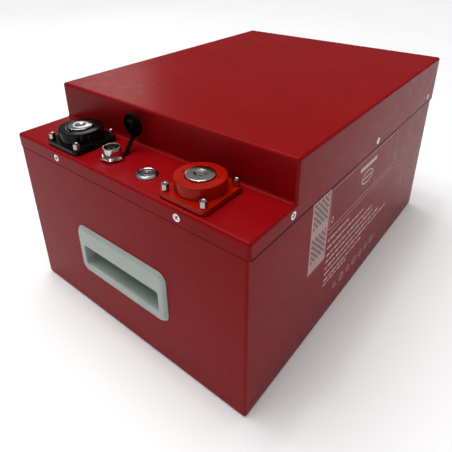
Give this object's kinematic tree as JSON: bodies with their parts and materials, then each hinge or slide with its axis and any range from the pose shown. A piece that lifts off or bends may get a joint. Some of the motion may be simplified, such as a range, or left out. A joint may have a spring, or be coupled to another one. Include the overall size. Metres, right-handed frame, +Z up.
{
  "type": "battery box",
  "caption": "Sheet-metal traction battery box with a stepped lid, round bolted power terminals, a capped signal connector, a push button and recessed pull handles.",
  "frame": {"origin": "centre of the floor face, on the surface that the box stands on", "axes": "+Z up, -Y out of the front end with the terminal deck, +Y along the case's length to the rear, +X to the right seen from the front"},
  "size_m": [0.256, 0.366, 0.191],
  "materials": {
    "case_paint": "satin red powder coat",
    "bare_sheet": "zinc plated",
    "foam_black": "closed-cell foam",
    "screw_white": "bright nickel",
    "plated_steel": "zinc plated",
    "handle_grey": "satin grey-green",
    "label_film": "printed film",
    "orange_moulding": "gloss",
    "black_moulding": "gloss",
    "contact_metal": "nickel plated, machined",
    "standoff_metal": "nickel plated",
    "rubber_black": "matt moulded rubber",
    "copper_tinned": "tinned copper",
    "chrome_shell": "polished chrome",
    "insert_black": "matt",
    "pin_gold": "gold plated",
    "button_metal": "fine brushed, chromed",
    "spring_steel": "drawn wire",
    "pad_foam": "foam rubber",
    "spacer_board": "glass-fibre sheet",
    "plate_aluminium": "mill finish",
    "band_steel": "rolled",
    "busbar_copper": "nickel-free copper",
    "board_green": "solder mask",
    "sink_aluminium": "extruded",
    "fuse_body": "moulded",
    "cable_red": "silicone jacket",
    "cable_black": "silicone jacket",
    "cell_blue": "blue film on an aluminium can"
  },
  "bodies": {
    "case": {"case_tub": "case_paint", "rim_frame": "bare_sheet", "lid": "case_paint", "seam_gasket": "foam_black", "lid_screws": "screw_white", "lid_nuts": "plated_steel", "front_handle": "handle_grey", "rear_handle": "handle_grey", "handle_nuts": "plated_steel", "side_label": "label_film", "positive_base": "orange_moulding", "positive_insert": "contact_metal", "positive_standoffs": "standoff_metal", "negative_base": "black_moulding", "negative_insert": "contact_metal", "negative_standoffs": "standoff_metal", "terminal_gaskets": "rubber_black", "terminal_nuts": "plated_steel", "cable_lugs": "copper_tinned", "connector_shell": "chrome_shell", "connector_nut": "chrome_shell", "connector_insert": "insert_black", "connector_pins": "pin_gold", "connector_seal": "rubber_black", "cap_strap": "rubber_black", "button_bezel": "chrome_shell", "button_spring": "spring_steel", "button_nut": "plated_steel", "button_switch": "insert_black", "foam_pads": "pad_foam", "cell_spacers": "spacer_board", "end_plates": "plate_aluminium", "cell_straps": "band_steel", "busbars": "busbar_copper", "bms_tray": "spacer_board", "bms_board": "board_green", "bms_heatsink": "sink_aluminium", "fuse": "fuse_body", "positive_cable": "cable_red", "negative_cable": "cable_black", "signal_leads": "cable_black", "cell_1": "cell_blue", "cell_2": "cell_blue", "cell_3": "cell_blue", "cell_4": "cell_blue", "cell_5": "cell_blue", "cell_6": "cell_blue", "cell_7": "cell_blue", "cell_8": "cell_blue", "cell_9": "cell_blue", "cell_10": "cell_blue", "cell_11": "cell_blue", "cell_12": "cell_blue", "cell_13": "cell_blue", "cell_14": "cell_blue", "cell_15": "cell_blue", "cell_16": "cell_blue"},
    "cap": {"cap_link": "rubber_black", "dust_cap": "rubber_black"},
    "button": {"button_plunger": "button_metal"}
  },
  "joints": [
    {"name": "button_press", "type": "slide", "parent": "case", "child": "button", "axis": [0, 0, -1], "range_m": [0, 0.0015], "stiffness_N_per_m": 400, "springref_m": -0.002, "deforming": ["button_spring"]},
    {"name": "cap_hinge", "type": "hinge", "parent": "case", "child": "cap", "pos_m": [-0.0195, -0.1439, 0.1628], "axis": [1, 0, 0], "range_deg": [0, 90]}
  ]
}
